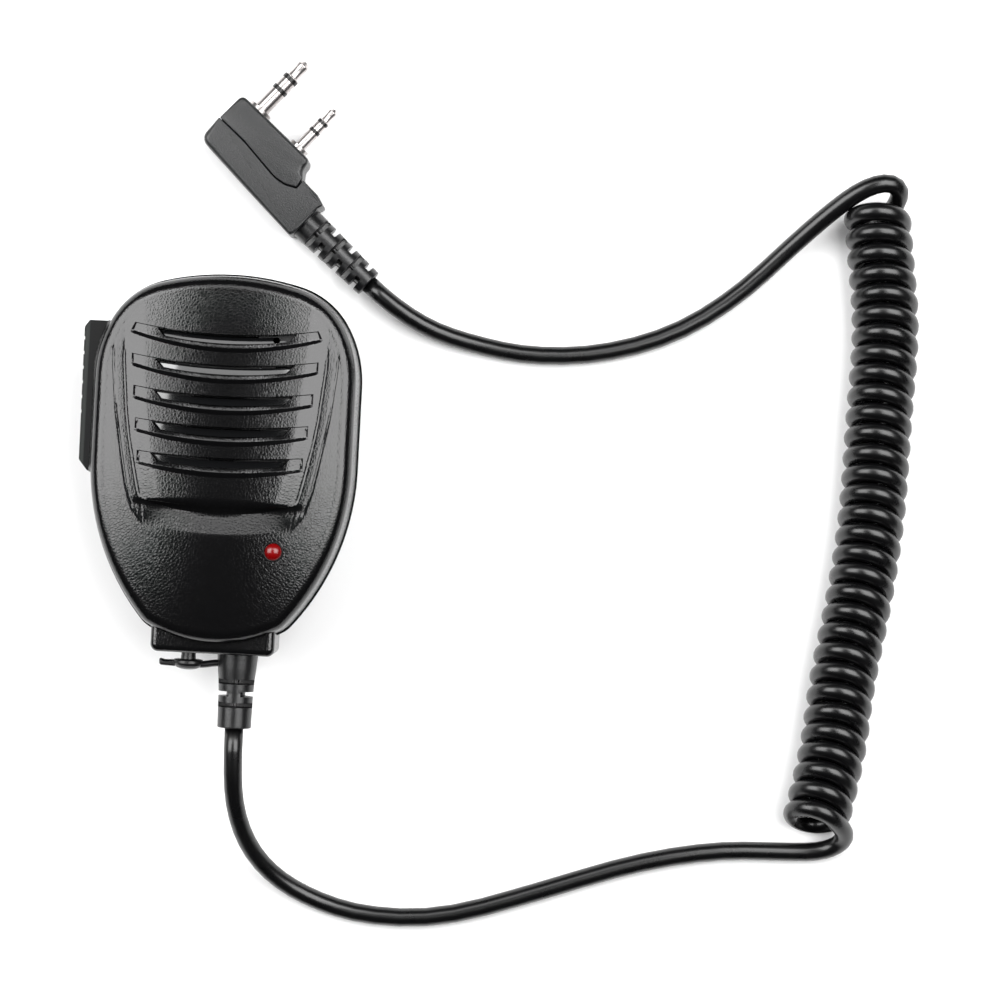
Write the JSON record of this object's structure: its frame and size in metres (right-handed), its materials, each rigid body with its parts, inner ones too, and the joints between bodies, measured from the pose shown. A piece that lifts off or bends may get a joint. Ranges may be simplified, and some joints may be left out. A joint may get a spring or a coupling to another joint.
{
  "type": "hand microphone",
  "caption": "Hand microphone for a two-way radio: louvred front, side talk button, swivel belt clip, curly cord and two-pin plug.",
  "frame": {"origin": "on the surface the microphone lies on, under the middle of the housing, in the outer face of the clip arm", "axes": "+Z out of the face with the grille, +Y towards the top edge away from the cord, +X away from the talk button"},
  "size_m": [0.1786, 0.1876, 0.033],
  "materials": {
    "grained_abs": "leather-grained semi-gloss black ABS",
    "button_abs": "smooth black ABS with a ribbed edge",
    "clip_abs": "smooth black nylon",
    "zinc_steel": "zinc-plated steel",
    "spring_steel": "spring wire",
    "grey_film": "thin dark grey polyester film",
    "foam": "closed-cell foam",
    "paper_cone": "coated paper cone",
    "magnet": "sintered magnet",
    "soft_rubber": "soft moulded rubber",
    "nickel": "bright nickel plating",
    "red_lens": "tinted clear epoxy, red",
    "board_green": "glass-epoxy board with solder mask",
    "dark_epoxy": "moulded epoxy",
    "relief_rubber": "matt charcoal PVC",
    "wire_cover": "PVC wire insulation",
    "cord_cover": "satin black polyurethane",
    "plug_body": "matt charcoal moulded plastic",
    "pin_insulator": "black plastic collar"
  },
  "bodies": {
    "housing": {"big_pin_flange": "nickel", "big_pin_insulators": "pin_insulator", "big_pin_ring": "nickel", "big_pin_sleeve": "nickel", "big_pin_tip": "nickel", "board_components": "dark_epoxy", "case_screws": "zinc_steel", "clip_swivel_screw": "zinc_steel", "clip_washer": "zinc_steel", "curly_cord": "cord_cover", "dust_cap_strap": "soft_rubber", "earphone_jack": "dark_epoxy", "front_shell": "grained_abs", "grille_film": "grey_film", "inner_wires": "wire_cover", "led_leads": "nickel", "led_lens": "red_lens", "main_board": "board_green", "mic_boot": "soft_rubber", "mic_capsule": "nickel", "mic_lead": "cord_cover", "mic_strain_relief": "relief_rubber", "plug_front_block": "plug_body", "plug_lead": "cord_cover", "plug_rear_cover": "plug_body", "plug_strain_relief": "relief_rubber", "rear_shell": "grained_abs", "small_pin_flange": "nickel", "small_pin_insulators": "pin_insulator", "small_pin_ring": "nickel", "small_pin_sleeve": "nickel", "small_pin_tip": "nickel", "speaker_basket": "zinc_steel", "speaker_cone": "paper_cone", "speaker_gasket": "foam", "speaker_magnet": "magnet", "talk_switch": "dark_epoxy"},
    "clip": {"clip_base": "clip_abs", "clip_pin": "zinc_steel", "clip_spring": "spring_steel"},
    "clip_arm": {"clip_arm": "clip_abs"},
    "talk_button": {"talk_button": "button_abs", "talk_switch_plunger": "button_abs"},
    "dust_cap": {"dust_cap": "soft_rubber"}
  },
  "joints": [
    {"name": "talk_press", "type": "slide", "parent": "housing", "child": "talk_button", "axis": [1, 0, 0], "range_m": [0, 0.0012], "stiffness_N_per_m": 1200, "springref_m": -0.0006},
    {"name": "clip_swivel", "type": "hinge", "parent": "housing", "child": "clip", "pos_m": [0, 0.006, 0.0084], "axis": [0, 0, 1], "continuous": true},
    {"name": "clip_open", "type": "hinge", "parent": "clip", "child": "clip_arm", "pos_m": [0, 0.014, 0.005], "axis": [1, 0, 0], "range_deg": [0, 18], "stiffness_Nm_per_rad": 0.06, "springref_deg": -28.65, "deforming": ["clip_spring"]},
    {"name": "dust_cap_pull", "type": "slide", "parent": "housing", "child": "dust_cap", "axis": [0, -1, 0], "range_m": [-0.0016, 0.006], "deforming": ["dust_cap_strap"]}
  ]
}
